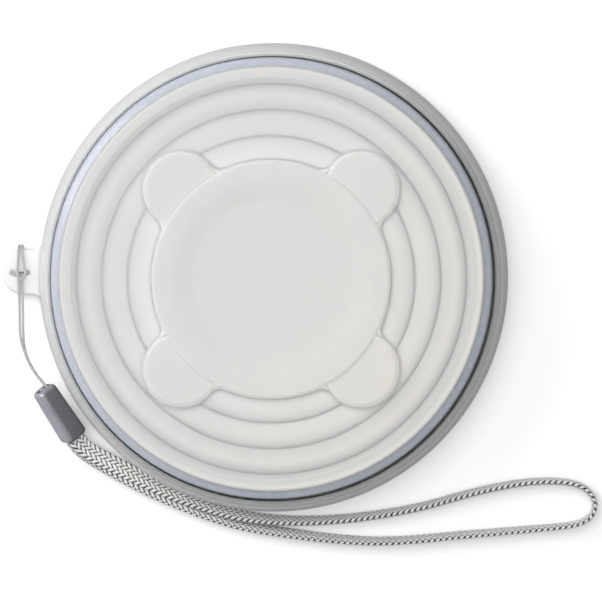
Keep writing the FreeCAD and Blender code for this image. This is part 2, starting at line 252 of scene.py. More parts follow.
class Finish:
    """One material and its nodes."""

    def __init__(self, name, **shader):
        self.material = bpy.data.materials.new(name)
        self.material.use_nodes = True
        self.tree = self.material.node_tree
        self.tree.nodes.clear()
        self.shader = self.node("ShaderNodeBsdfPrincipled", {}, shader).socket.node
        output = self.tree.nodes.new("ShaderNodeOutputMaterial")
        self.tree.links.new(self.shader.outputs[0], output.inputs["Surface"])
        place = self.node("ShaderNodeTexCoord", {}, {}, "Object")
        self.place = place
        self.x, self.y, self.z = self.parts(place)

    def node(self, kind, settings, sockets, output=0):
        """Adds a node: its settings first, then the values or links of its sockets."""
        made = self.tree.nodes.new(kind)
        for name, value in settings.items():
            setattr(made, name, value)
        for name, value in sockets.items():
            if isinstance(value, Value):
                self.tree.links.new(value.socket, made.inputs[name])
            else:
                made.inputs[name].default_value = value
        return Value(self, made.outputs[output])

    def parts(self, vector):
        """The three parts of a vector, as values."""
        split = self.node("ShaderNodeSeparateXYZ", {}, {0: vector}).socket.node
        return [Value(self, socket) for socket in split.outputs]

    def upright(self):
        """1 on a face that looks straight up, 0 on a wall."""
        normal = self.node("ShaderNodeNewGeometry", {}, {}, "Normal")
        return self.parts(normal)[2]

    def noise(self, size, detail=2.0, roughness=0.5, stretch=(1, 1, 1)):
        """Noise from 0 to 1 whose grain is this many millimetres."""
        place = self.place
        if stretch != (1, 1, 1):
            place = self.node("ShaderNodeVectorMath", {"operation": "MULTIPLY"}, {0: place, 1: stretch})
        sockets = {"Vector": place, "Scale": 1 / (size * MM), "Detail": detail, "Roughness": roughness}
        return self.node("ShaderNodeTexNoise", {}, sockets)

    def mix(self, share, first, second):
        """A colour between two others."""
        settings = {"data_type": "RGBA", "clamp_factor": True}
        return self.node("ShaderNodeMix", settings, {0: share, 6: first, 7: second}, 2)

    def bump(self, height, distance, strength=1.0):
        """Tiny relief: distance is its height in millimetres."""
        sockets = {"Height": height, "Distance": distance * MM, "Strength": strength}
        return self.node("ShaderNodeBump", {}, sockets)

    def set(self, **inputs):
        """Links the shader's varying inputs."""
        for name, value in inputs.items():
            self.tree.links.new(value.socket, self.shader.inputs[name.replace("_", " ")])
        return self.material


CREASE_SHADE_SHIFT = 0.35  # of the painted shade's middle, outwards from the crease's
CREASE_SHADE_REACH = 2.6


def painted_shade_near_crease(look):
    """Mask of the painted crease shade: 1 along a crease between two bands and 0 half-way to the next;
    fainter near the axis.
    """
    (_, inner), (_, outer) = box("wall_band_2"), box("wall_band_3")
    middle = (outer.x + CREASE_TO_WALL + CREASE_SHADE_SHIFT) * MM
    half_pitch = (outer.x - inner.x) / 2 * MM
    square = look.x * look.x + look.y * look.y
    radius = square.math("SQRT", square)
    away = square.math("PINGPONG", radius - middle, half_pitch)
    inside_edge = 1 - radius.between(0.0398, 0.0404)
    outwards = radius.between(0.0275, 0.0385)
    return (1 - away.between(0, CREASE_SHADE_REACH * MM)) * outwards * inside_edge


def silicone(name, painted_edge_glow=0.0, painted_crease_shade=0.0):
    """Milky silicone: cloudy and matt, with a painted warm shade away from the side light, painted
    shade along creases and a painted glow at the foot's edges.
    """
    look = Finish(
        name,
        **{
            "Subsurface Weight": 1.0,
            "Subsurface Radius": (1.0, 0.97, 0.9),
            "Subsurface Scale": 0.0012,
            "IOR": 1.41,
            "Specular IOR Level": 0.35,
            "Emission Strength": painted_edge_glow,
        },
    )
    cloud = look.noise(13, 3.0, 0.55)
    haze = look.noise(3.2, 2.0, 0.5)
    # painted warm shade: warmer towards the lower right, away from the side light, broken up by random
    # cloud
    warm_shade_and_cloud = (look.x * 24 - look.y * 14 + (cloud - 0.5) * 1.6).between(-0.1, 1.0)
    base = look.mix(warm_shade_and_cloud * 0.75, (0.82, 0.825, 0.815, 1), (0.865, 0.84, 0.785, 1))
    base = look.mix((haze - 0.35) * 0.5, base, (0.88, 0.875, 0.85, 1))
    # painted shade: the bands' colour is darker along their creases, where shade falls
    base = look.mix(painted_shade_near_crease(look) * painted_crease_shade, base, (0.7, 0.71, 0.69, 1))
    grain = look.noise(0.28, 2.0, 0.6)
    rough = 0.5 + (haze - 0.5) * 0.16 + (grain - 0.5) * 0.1
    skin = look.bump(grain * 0.35 + look.noise(1.6, 3.0) * 0.65, 0.05, 0.5)
    # painted glow: the foot's steep edges give off light of their own, standing for light through the
    # silicone
    edge = (1 - look.upright()).between(0.05, 0.6) * look.z.between(0.0172, 0.018)
    glow = look.mix(edge, (0, 0, 0, 1), (1, 1, 0.97, 1))
    return look.set(Base_Color=base, Roughness=rough, Normal=skin, Emission_Color=glow)


def lid_plastic():
    """Milky moulded plastic, satin, with faint flow marks, handling scuffs and a painted shade on its
    top edge.
    """
    look = Finish(
        "lid_plastic",
        **{
            "Subsurface Weight": 1.0,
            "Subsurface Radius": (1.0, 0.95, 0.9),
            "Subsurface Scale": 0.0022,
            "IOR": 1.49,
            "Specular IOR Level": 0.4,
        },
    )
    cloud = look.noise(17, 3.0, 0.5)
    flow = look.noise(4.5, 4.0, 0.6, (1, 1, 0.12))
    base = look.mix(cloud, (0.83, 0.835, 0.82, 1), (0.88, 0.885, 0.865, 1))
    base = look.mix((flow - 0.45) * 0.6, base, (0.9, 0.9, 0.875, 1))
    # painted shade: the lid's top edge is coloured dark grey, more towards the lower right, away from
    # the side light
    away = (look.x - look.y).between(-0.05, 0.02)
    lip = look.z.between(0.0104, 0.0115) * (away * 0.5 + 0.42)
    base = look.mix(lip, base, (0.33, 0.335, 0.33, 1))
    scuff = look.noise(0.9, 5.0, 0.75, (0.3, 1, 1.6)).between(0.56, 0.72)
    rough = 0.36 + (cloud - 0.5) * 0.12 + scuff * 0.16
    skin = look.bump(look.noise(0.5, 3.0) + scuff * 0.4, 0.02, 0.35)
    return look.set(Base_Color=base, Roughness=rough, Normal=skin)


def rim_plastic():
    """Bluish translucent plastic of the drinking edge, smoother than the lid."""
    look = Finish(
        "rim_plastic",
        **{
            "Subsurface Weight": 1.0,
            "Subsurface Radius": (0.8, 0.9, 1.0),
            "Subsurface Scale": 0.002,
            "IOR": 1.5,
            "Specular IOR Level": 0.5,
        },
    )
    cloud = look.noise(15, 3.0, 0.5)
    streak = look.noise(1.4, 3.0, 0.6, (1, 1, 3))
    base = look.mix(cloud, (0.52, 0.56, 0.65, 1), (0.59, 0.625, 0.70, 1))
    base = look.mix((streak - 0.5) * 0.35, base, (0.68, 0.71, 0.76, 1))
    rough = 0.27 + (streak - 0.5) * 0.12 + (cloud - 0.5) * 0.08
    skin = look.bump(look.noise(0.7, 3.0), 0.02, 0.3)
    return look.set(Base_Color=base, Roughness=rough, Normal=skin)


def bead_plastic():
    """Dark grey moulded plastic with a fine spark-eroded grain."""
    look = Finish("bead_plastic", **{"IOR": 1.49, "Specular IOR Level": 0.6})
    cloud = look.noise(3.5, 3.0, 0.6)
    grain = look.noise(0.16, 2.0, 0.6)
    base = look.mix(cloud, (0.085, 0.08, 0.095, 1), (0.12, 0.115, 0.13, 1))
    base = look.mix(grain.between(0.55, 0.8) * 0.25, base, (0.24, 0.235, 0.25, 1))
    rough = 0.4 + (cloud - 0.5) * 0.14 + (grain - 0.5) * 0.2
    skin = look.bump(grain, 0.02, 0.6)
    return look.set(Base_Color=base, Roughness=rough, Normal=skin)


PAINTED_GAP_SHADE = (0.045, 0.045, 0.045, 1)  # the painted shade on thread that lies deep in its cord


def thread(name, dark, light, grain_size):
    """Shiny synthetic thread: fine filaments, uneven dye, and painted shade where threads tuck under.
    """
    look = Finish(name, **{"IOR": 1.5, "Specular IOR Level": 0.6, "Sheen Weight": 0.15})
    uneven = look.noise(2.2, 3.0, 0.6)
    filament = look.noise(grain_size, 3.0, 0.65)
    base = look.mix(filament, dark, light)
    base = look.mix((uneven - 0.5) * 0.4, base, dark)
    raised = look.node("ShaderNodeAttribute", {"attribute_name": "raised"}, {}, "Fac")
    # painted shade: thread darkens where it lies low in the cord and on each tube's inner side
    base = look.mix(raised.between(0.2, 0.72), PAINTED_GAP_SHADE, base)
    rough = 0.3 + (filament - 0.5) * 0.24
    skin = look.bump(filament, 0.05, 0.6)
    return look.set(Base_Color=base, Roughness=rough, Normal=skin)


# the bands' silicone, with painted shade along its creases
SILICONE = silicone("silicone", painted_crease_shade=0.8)
# the foot's silicone, with a painted glow on its steep edges
FOOT_SILICONE = silicone("foot_silicone", painted_edge_glow=0.17)
LID_PLASTIC = lid_plastic()
RIM_PLASTIC = rim_plastic()
BEAD_PLASTIC = bead_plastic()
STRING_THREAD = thread("string_thread", (0.45, 0.45, 0.46, 1), (0.78, 0.78, 0.78, 1), 0.12)
BRAID_THREAD = thread("braid_thread", (0.72, 0.72, 0.71, 1), (0.93, 0.93, 0.91, 1), 0.15)
# painted shade: the core is dark so that the braid's gaps look shaded
CORE_GAP_SHADE = thread("core_gap_shade", (0.06, 0.06, 0.06, 1), (0.12, 0.12, 0.12, 1), 0.2)


# ---- camera ---------------------------------------------------------------------------------
VIEW_MIDDLE = Vector((5.38, -4.65, 0)) * MM
VIEW_WIDTH = 118.2 * MM
CAMERA_AWAY = 1.2
CAMERA_LEAN = Vector((0.0130, 0.0360, 1))


def camera():
    """Looks down on the cup, almost straight from above."""
    lens = bpy.data.cameras.new("camera")
    lens.sensor_width = 36
    lens.lens = lens.sensor_width * CAMERA_AWAY / VIEW_WIDTH
    lens.clip_start = 0.1
    lens.clip_end = 10
    made = bpy.data.objects.new("camera", lens)
    bpy.context.scene.collection.objects.link(made)
    back = CAMERA_LEAN.normalized()
    right = Vector((0, 1, 0)).cross(back).normalized()
    up = back.cross(right)
    turn = Matrix((right, up, back)).transposed()
    made.matrix_world = Matrix.Translation(VIEW_MIDDLE + back * CAMERA_AWAY) @ turn.to_4x4()
    bpy.context.scene.camera = made


# ---- cords ----------------------------------------------------------------------------------
def spline_points(name, route):
    """Points along the one smooth curve that the route's points control."""
    curve = bpy.data.curves.new(name, "CURVE")
    curve.dimensions = "3D"
    curve.resolution_u = 32
    spline = curve.splines.new("NURBS")
    spline.points.add(len(route) - 1)
    for point, place in zip(spline.points, route):
        point.co = (*place, 1)
    spline.order_u = 3
    spline.use_endpoint_u = True
    holder = bpy.data.objects.new(name, curve)
    line = bpy.data.meshes.new_from_object(holder)
    points = np.array([vertex.co for vertex in line.vertices]) / MM
    bpy.data.objects.remove(holder)
    bpy.data.curves.remove(curve)
    bpy.data.meshes.remove(line)
    return points


def evenly(points, step):
    """The same line with its points about a step apart."""
    gone = np.concatenate([[0], np.cumsum(np.linalg.norm(np.diff(points, axis=0), axis=1))])
    places = np.linspace(0, gone[-1], int(gone[-1] / step) + 1)
    return np.stack([np.interp(places, gone, points[:, axis]) for axis in range(3)], axis=1), places


def unit(vectors):
    return vectors / np.linalg.norm(vectors, axis=-1, keepdims=True)


def carried_sides(points):
    """Two directions square to the line that turn as little as they can along it."""
    heading = unit(np.gradient(points, axis=0))
    sides = []
    side = unit(np.cross(heading[0], (0.3, 0.2, 0.9)))
    for ahead in heading:
        side = unit(side - ahead * np.dot(side, ahead))
        sides.append(side)
    sides = np.array(sides)
    return sides, np.cross(heading, sides)


def tubes(name, lines, across, along, raised, width, thick, corners=6):
    """Flattened tubes along several lines, closed at their ends, in one mesh.

    Each point keeps how far it stands out of the cord, from 0 to 1, lowest on each tube's inner side,
    for the painted shade in its thread's finish.
    """
    points, faces, heights = [], [], []
    angles = np.linspace(0, TURN, corners, endpoint=False)
    for line, side, lift, height in zip(lines, across, along, raised):
        heights.append(np.outer(height, 0.5 + 0.5 * np.sin(angles)).ravel())
        ring = (
            line[:, None, :]
            + side[:, None, :] * np.cos(angles)[None, :, None] * width
            + lift[:, None, :] * np.sin(angles)[None, :, None] * thick
        )
        start = sum(len(part) for part in points)
        points.append(ring.reshape(-1, 3))
        faces += grid_faces(len(line), corners, False, True, start)
        faces.append([start + corner for corner in range(corners)])
        last = start + (len(line) - 1) * corners
        faces.append([last + corner for corner in reversed(range(corners))])
    mesh = mesh_of(name, np.concatenate(points), faces, merge=False)
    kept = mesh.attributes.new("raised", "FLOAT", "POINT")
    kept.data.foreach_set("value", np.concatenate(heights))
    return mesh


TWIST_PITCH = 1.1
STRAND_OFFSET = 0.145
STRAND_RADIUS = 0.155


def string():
    """Two strands twisted round each other along the string's curve."""
    points, gone = evenly(spline_points("string_line", STRING_ROUTE), 0.08)
    side, lift = carried_sides(points)
    lines, across, along = [], [], []
    for strand in (0, 0.5):
        turn = (TURN * (gone / TWIST_PITCH + strand))[:, None]
        outwards = side * np.cos(turn) + lift * np.sin(turn)
        line = points + outwards * STRAND_OFFSET
        heading = unit(np.gradient(line, axis=0))
        lines.append(line)
        across.append(unit(np.cross(heading, outwards)))
        along.append(outwards)
    # the strands' painted shade falls only on their inner sides
    raised = [np.ones(len(points))] * 2
    mesh = tubes("twisted_string", lines, across, along, raised, STRAND_RADIUS, STRAND_RADIUS)
    piece = shown(mesh, STRING_THREAD)
    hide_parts("string")
    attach(piece, "lid")
    return piece, points * MM


YARNS = 8  # in each direction
BRAID_LEAD = 9.4  # length in which a yarn goes once round
YARN_WIDTH = 0.31
YARN_THICK = 0.17
WEAVE_DEPTH = 0.12
BRAID_HALF_WIDTH = 1.68  # of the flat tube that the yarns' middles follow
BRAID_HALF_THICK = 0.27
STRAP_STEP = 0.25
CORE_HALF_WIDTH = 1.5
CORE_HALF_THICK = 0.16
LEAN_EASE = 20  # steps each way over which the strap's lean is evened out
# how far the strap's width leans from level, in degrees, by share of its length
STRAP_LEAN = [(0, 28), (0.04, 30), (0.1, 48), (0.2, 70), (0.3, 77), (0.42, 82), (0.5, 90)]


def strap_sides(points, gone):
    """The directions of the strap's width and thickness along its line."""
    share = gone / gone[-1]
    half, lean = zip(*STRAP_LEAN)
    places = list(half) + [1 - place for place in reversed(half[:-1])]
    leans = list(lean) + [180 - tilt for tilt in reversed(lean[:-1])]
    tilt = np.radians(np.interp(share, places, leans))
    window = 2 * LEAN_EASE + 1
    tilt = np.convolve(np.pad(tilt, LEAN_EASE, mode="edge"), np.ones(window) / window, mode="valid")
    tilt = tilt[:, None]
    heading = unit(np.gradient(points, axis=0))
    level = unit(np.stack([-heading[:, 1], heading[:, 0], np.zeros(len(points))], axis=1))
    upright = np.array([0.0, 0.0, 1.0])
    width = level * np.cos(tilt) - upright * np.sin(tilt)
    width = unit(width - heading * np.sum(width * heading, axis=1, keepdims=True))
    return width, np.cross(width, heading)


def round_flat_tube(place):
    """Across, up and the outward direction at a place round the flat tube, from 0 to 1."""
    straight = 2 * (BRAID_HALF_WIDTH - BRAID_HALF_THICK)
    end = math.pi * BRAID_HALF_THICK
    around = 2 * (straight + end)
    run = np.mod(place, 1.0) * around
    back = run >= straight + end
    run = np.where(back, run - straight - end, run)
    turn = np.clip((run - straight) / BRAID_HALF_THICK, 0, math.pi)
    across = np.minimum(run, straight) - straight / 2 + np.sin(turn) * BRAID_HALF_THICK
    up = np.cos(turn) * BRAID_HALF_THICK
    sign = np.where(back, -1.0, 1.0)
    return across * sign, up * sign, np.sin(turn) * sign, np.cos(turn) * sign


def strap():
    """A flat tubular braid: eight yarns each way, over two and under two, round a core whose dark
    colour is painted shade in the braid's gaps.
    """
    points, gone = evenly(spline_points("strap_line", STRAP_ROUTE), STRAP_STEP)
    width, thickness = strap_sides(points, gone)
    lines, across, along, raised = [], [], [], []
    for way in (1, -1):
        for yarn in range(YARNS):
            place = way * gone / BRAID_LEAD + yarn / YARNS
            crossing = 2 * YARNS * gone / BRAID_LEAD
            phase = math.pi / 2 * (2 * yarn + way * crossing) - math.pi / 4
            over = way * WEAVE_DEPTH * np.cos(phase)
            side, up, out_side, out_up = round_flat_tube(place)
            outwards = width * out_side[:, None] + thickness * out_up[:, None]
            line = points + width * side[:, None] + thickness * up[:, None]
            line = line + outwards * over[:, None]
            heading = unit(np.gradient(line, axis=0))
            lines.append(line)
            across.append(unit(np.cross(heading, outwards)))
            along.append(outwards)
            # how far each yarn stands out, which sets its painted shade
            raised.append(0.5 + 0.5 * over / WEAVE_DEPTH)
    mesh = tubes("braided_strap", lines, across, along, raised, YARN_WIDTH, YARN_THICK)
    piece = shown(mesh, BRAID_THREAD)
    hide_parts("strap")
    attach(piece, "lid")
    level = [np.ones(len(points))]
    size = CORE_HALF_WIDTH, CORE_HALF_THICK
    # the core's dark colour is painted shade seen through the braid's gaps
    core = tubes("strap_core", [points], [width], [thickness], level, *size, corners=8)
    core = shown(core, CORE_GAP_SHADE)
    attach(core, "lid")
    return piece, core, points * MM


# ---- bead -----------------------------------------------------------------------------------
BEAD_LENGTH = 11.9
BEAD_SIDE = 4.35
BEAD_TURNS = (-58.2, 16.0, -28.0)  # about Z, then Y, then X, in degrees
BEAD_SHIFT = Vector((-0.05, 0.15, 0.55))  # its nose tips up on the string
BEAD_TAPER = 0.3  # how much narrower its nose is than its tail, on each side
BEAD_EDGE = 0.8  # radius of the edges round its ends
HOLE_RADIUS = 0.62
HOLE_SPREAD = 0.9  # of each hole from the bead's middle
HOLE_OUTLINE = [(-0.3, 0.2), (0, 0.12), (0.14, 0), (2.2, 0)]  # depth, and how much wider
SLOT_OUTLINE = [(1.2, 2.2), (0.2, 2.2), (-0.3, 2.6)]  # depth, and height
SLOT_WALL = 0.25


def bead_section(inset, corner=1.05, steps=8):
    """A square section with rounded corners, drawn in by an inset."""
    half = BEAD_SIDE / 2 - inset
    corner = max(corner - inset * 0.4, 0.2)
    points = []
    for number in range(4):
        middle = TURN * (number + 0.5) / 4
        centre = np.array([math.copysign(1, math.cos(middle)), math.copysign(1, math.sin(middle))])
        for angle in np.linspace(-TURN / 8, TURN / 8, steps):
            around = np.array([math.cos(middle + angle), math.sin(middle + angle)])
            points.append(centre * (half - corner) + around * corner)
    return np.array(points)


def lofted(name, stations):
    """A closed body through sections: each station is (place along X, section of (y, z))."""
    points = np.concatenate([np.column_stack([np.full(len(s), x), s]) for x, s in stations])
    count = len(stations[0][1])
    faces = grid_faces(len(stations), count, False, True)
    faces.append(list(range(count)))
    faces.append([len(points) - 1 - corner for corner in range(count)])
    return mesh_of(name, points, faces)


def round_section(radius, steps=32):
    angles = np.linspace(0, TURN, steps, endpoint=False)
    return np.column_stack([np.cos(angles), np.sin(angles)]) * radius


def cut_out(piece, tool_mesh):
    """Cuts a tool's shape out of a piece and leaves plain mesh."""
    tool = bpy.data.objects.new("tool", tool_mesh)
    bpy.context.scene.collection.objects.link(tool)
    cut = piece.modifiers.new("cut", "BOOLEAN")
    cut.operation = "DIFFERENCE"
    cut.solver = "EXACT"
    cut.object = tool
    graph = bpy.context.evaluated_depsgraph_get()
    result = bpy.data.meshes.new_from_object(piece.evaluated_get(graph))
    piece.modifiers.clear()
    piece.data = result
    bpy.data.objects.remove(tool)


def bead():
    """Rounded block with the string's two holes in its nose and the strap's slot in its tail."""
    half = BEAD_LENGTH / 2
    stations = []
    for share in np.linspace(0, 1, 7):
        depth = BEAD_EDGE * (1 - math.cos(share * math.pi / 2))
        stations.append((-half + depth, BEAD_EDGE * (1 - math.sin(share * math.pi / 2))))
    stations += [(place, 0.0) for place in (-2.9, 0.0, 2.9)]
    stations += [(-place, inset) for place, inset in reversed(stations[:7])]
    taper = BEAD_TAPER / BEAD_LENGTH
    mesh = lofted("moulded_bead", [(x, bead_section(inset - taper * x)) for x, inset in stations])
    piece = shown(mesh, BEAD_PLASTIC)
    for side in (-HOLE_SPREAD, HOLE_SPREAD):
        hole = []
        for depth, flare in HOLE_OUTLINE:
            hole.append((depth - half, round_section(HOLE_RADIUS + flare) + (side, 0)))
        cut_out(piece, lofted("hole", hole))
    slot = [(half - depth, slot_section(height)) for depth, height in SLOT_OUTLINE]
    cut_out(piece, lofted("slot", slot))
    low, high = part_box("strap_bead")
    turn = Matrix.Identity(3)
    for angle, axis in zip(BEAD_TURNS, "ZYX"):
        turn = turn @ Matrix.Rotation(math.radians(angle), 3, axis)
    middle = (low + high) / 2 + BEAD_SHIFT * MM
    piece.data.transform(Matrix.Translation(middle) @ turn.to_4x4())
    piece.data.name = "moulded_bead"
    piece.data.set_sharp_from_angle(angle=math.radians(40))
    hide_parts("strap_bead")
    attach(piece, "lid")
    return piece


def slot_section(height):
    """A flat oblong section for the strap's slot, between the bead's walls."""
    width = BEAD_SIDE - 2 * SLOT_WALL
    angles = np.linspace(0, TURN, 40, endpoint=False)
    corner = height * 0.28
    around = np.column_stack([np.cos(angles), np.sin(angles)])
    middle = np.sign(np.round(around, 6)) * (width / 2 - corner, height / 2 - corner)
    return middle + around * corner


# ---- lid ------------------------------------------------------------------------------------
TAB_RADIUS = 4.5
TAB_FILLET = 2.2
TAB_ROOT = 44.4  # inside the skirt's wall
TAB_SKIRT = 45.6  # the skirt's outside at the tab's height
TAB_ASIDE = 1.15  # of its middle from the X axis
TAB_BOTTOM = 0.95
TAB_TOP = 2.65
TAB_EDGE = 0.32
SLOT_LENGTH = 3.8
SLOT_WIDTH = 0.9
SLOT_SAG = 0.35
SLOT_SHIFT = (-0.9, -0.2)  # from the tab's middle


def lid():
    """Shallow round dish whose skirt leans in, with a fine step under its top edge."""
    outline = softened(
        [
            (0, 0, 0), (45.35, 0, 0.4), (46.0, 1.2, 0.5), (45.25, 8.4, 3.0), (44.25, 11.35, 0.5),
            (44.0, 11.5, 0.1), (43.5, 11.1, 0.2), (43.28, 10.55, 0.2), (43.75, 9.8, 0.3),
            (43.75, 1.6, 1.0), (39.6, 1.6, 0.3), (39.4, 1.85, 0.2), (38.6, 1.85, 0.2),
            (38.4, 1.6, 0.3), (0, 1.6, 0),
        ]
    )
    mesh = turned("lid_dish", outline, closed=False)
    piece = shown(mesh, LID_PLASTIC)
    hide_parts("lid")
    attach(piece, "lid")
    return piece


def arc(centre, radius, start, end, steps):
    """Points of an arc, from one angle to another."""
    angles = np.linspace(start, end, steps)
    return np.column_stack([centre[0] + radius * np.cos(angles), centre[1] + radius * np.sin(angles)])


def tab_outline(middle):
    """The tab's edge: a round lobe between two fillets, closed inside the skirt."""
    distance = math.hypot(*middle)
    away = math.atan2(middle[1], middle[0])
    from_axis = TAB_SKIRT + TAB_FILLET
    from_lobe = TAB_RADIUS + TAB_FILLET
    along = (from_axis**2 - from_lobe**2 + distance**2) / (2 * distance)
    across = math.sqrt(from_axis**2 - along**2)
    half = math.atan2(across, along)
    lobe_start = math.atan2(across, along - distance)
    fillet = (math.cos(half) * from_axis, math.sin(half) * from_axis)
    upper = arc(fillet, TAB_FILLET, half - math.pi, lobe_start - math.pi, 10)
    lobe = arc((distance, 0), TAB_RADIUS, lobe_start, -lobe_start, 48)[1:-1]
    root = arc((0, 0), TAB_ROOT, -half * 1.25, half * 1.25, 24)
    points = np.concatenate([upper, lobe, upper[::-1] * (1, -1), root])
    turn = np.array([[math.cos(away), math.sin(away)], [-math.sin(away), math.cos(away)]])
    return points @ turn


def slot_outline(middle):
    """The string's slot: two matching arcs closed by round ends."""
    end = SLOT_LENGTH / 2 - SLOT_WIDTH / 2
    share = np.linspace(-1, 1, 17)
    low = np.column_stack([share * end, -SLOT_WIDTH / 2 - SLOT_SAG * (1 - share**2)])
    high = np.column_stack([-share * end, SLOT_WIDTH / 2 - SLOT_SAG * (1 - share**2)])
    right = arc((end, 0), SLOT_WIDTH / 2, -math.pi / 2, math.pi / 2, 9)[1:-1]
    left = arc((-end, 0), SLOT_WIDTH / 2, math.pi / 2, 1.5 * math.pi, 9)[1:-1]
    return np.concatenate([low, right, high, left]) + middle


def lid_tab():
    """The strap tab, with its edges and its slot's edges rounded."""
    low, _ = box("lid")
    middle = np.array([low.x + TAB_RADIUS, TAB_ASIDE])
    curve = bpy.data.curves.new("lid_tab", "CURVE")
    curve.dimensions = "2D"
    curve.fill_mode = "BOTH"
    curve.extrude = ((TAB_TOP - TAB_BOTTOM) / 2 - TAB_EDGE) * MM
    curve.bevel_depth = TAB_EDGE * MM
    curve.bevel_resolution = 4
    curve.offset = -TAB_EDGE * MM
    for outline in (tab_outline(middle), slot_outline(middle + SLOT_SHIFT)):
        spline = curve.splines.new("POLY")
        spline.points.add(len(outline) - 1)
        for point, place in zip(spline.points, outline * MM):
            point.co = (*place, 0, 1)
        spline.use_cyclic_u = True
    holder = bpy.data.objects.new("lid_tab", curve)
    mesh = bpy.data.meshes.new_from_object(holder)
    bpy.data.objects.remove(holder)
    mesh.name = "lid_tab"
    mesh.transform(Matrix.Translation((0, 0, (TAB_TOP + TAB_BOTTOM) / 2 * MM)))
    piece = shown(mesh, LID_PLASTIC)
    mesh.set_sharp_from_angle(angle=math.radians(50))
    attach(piece, "lid")
    return piece


# ---- cup ------------------------------------------------------------------------------------
def rim_ring():
    """The hard drinking edge: a rounded lip below and a sloping shoulder above."""
    low, high = box("rim_ring")
    side, foot, top = high.x, low.z, high.z
    outline = softened(
        [
            (side - 3.0, foot, 0.9), (side - 0.38, foot, 0.9), (side - 0.38, top - 3.2, 0.8),
            (side - 0.72, top - 1.1, 0.45), (side - 2.2, top - 0.16, 0.3),
            (side - 2.45, top - 0.7, 0.2), (side - 1.7, top - 1.6, 0.2),
            (side - 1.7, foot + 2.4, 0.4), (side - 3.0, foot + 2.4, 0.5),
        ]
    )
    piece = shown(laid(turned("drinking_rim", outline)), RIM_PLASTIC)
    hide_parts("rim_ring")
    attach(piece, "rim")
    return piece


def crease_of(number):
    """Radius of the middle of a band's inner crease."""
    return box(f"fold_{number}")[1].x - CREASE_TO_FOLD


def outer_band():
    """The widest band, bonded inside the rim ring, with a raised bead along the ring's edge."""
    low, high = box("wall_band_4")
    crease = crease_of(4)
    crest, side, foot = high.z, high.x, low.z
    edge = crease + CREASE_TO_FLANGE
    outline = softened(
        [
            (edge, crest - 1.6, 0.2), (edge, crest - 0.34, 0.3), (crease + 1.1, crest - 0.2, 0.7),
            (side - 2.7, crest - 0.04, 0.6), (side - 1.75, crest - 0.2, 0.4),
            (side - 0.92, crest - 0.06, 0.25), (side - 0.58, crest - 0.32, 0.2),
            (side - 0.38, crest - 1.0, 0.12), (side - 0.66, crest - 1.75, 0.1),
            (side - 0.05, crest - 2.35, 0.2),
            (side - 0.05, foot, 0.2), (side - BAND_WALL, foot, 0.4),
            (side - BAND_WALL, crest - FLANGE, 0.6), (crease + 0.6, crest - FLANGE, 0.3),
        ]
    )
    mesh = hand_moulded(laid(turned("silicone_band_4", outline)), 0.05, 9, 4)
    piece = shown(mesh, SILICONE)
    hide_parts("wall_band_4")
    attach(piece, "rim")
    return piece


LIP_FALL = {1: 0.5, 2: 0.54, 3: 0.64}  # from a band's crest down to its lip
EDGE_DIP = {1: 0.16, 2: 0.2, 3: 0.24}  # from a band's crest down to its crease
LIP_OVERHANG = 0.4  # of the lip over the next flange's edge
LIP_THICK = 0.12


def inner_band(number):
    """A band: an upright wall, and a flange that rises from its crease and falls past its crest."""
    low, high = box(f"wall_band_{number}")
    crease = crease_of(number)
    crest, side, foot = high.z, high.x, low.z
    edge = crease + CREASE_TO_FLANGE
    dip, lip = EDGE_DIP[number], crest - LIP_FALL[number]
    outline = softened(
        [
            (edge, crest - 1.6, 0.2), (edge, crest - dip, 0.3), (crease + 1.1, crest - dip * 0.6, 0.7),
            (side - 1.5, crest, 1.0), (side + LIP_OVERHANG, lip, 0.03),
            (side + LIP_OVERHANG, lip - LIP_THICK, 0.04), (side, lip - 0.2, 0.1), (side, foot, 0.35),
            (side - BAND_WALL, foot, 0.35), (side - BAND_WALL, crest - FLANGE, 0.6),
            (crease + 0.6, crest - FLANGE, 0.3),
        ]
    )
    mesh = hand_moulded(laid(turned(f"silicone_band_{number}", outline)), 0.05, 9, number)
    piece = shown(mesh, SILICONE)
    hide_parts(f"wall_band_{number}")
    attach(piece, f"band_{number}")
    return piece


FOLD_THICK = 0.34


def fold(number):
    """The thin membrane of a living hinge, from one band's flange down and in to the next foot."""
    _, high = box(f"wall_band_{number}")
    low, _ = box(f"fold_{number}")
    crease, crest, foot = crease_of(number), high.z, low.z
    corners = [
        (crease + 0.6, crest - 1.2, 0), (crease - 0.05, crest - 1.22, 0.4),
        (crease - 0.05, foot + 0.4, 0.35), (crease - 1.3, foot + 0.42, 0),
    ]
    middle = softened(corners, 9)
    gone = np.concatenate([[0], np.cumsum(np.linalg.norm(np.diff(middle, axis=0), axis=1))])
    places = np.linspace(0, gone[-1], 44)
    middle = np.column_stack([np.interp(places, gone, middle[:, axis]) for axis in (0, 1)])
    heading = unit(np.gradient(middle, axis=0))
    square = np.column_stack([-heading[:, 1], heading[:, 0]]) * FOLD_THICK / 2
    outline = np.concatenate([middle + square, (middle - square)[::-1]])
    piece = shown(laid(turned(f"silicone_fold_{number}", outline)), SILICONE)
    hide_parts(f"fold_{number}")
    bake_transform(piece)
    return piece


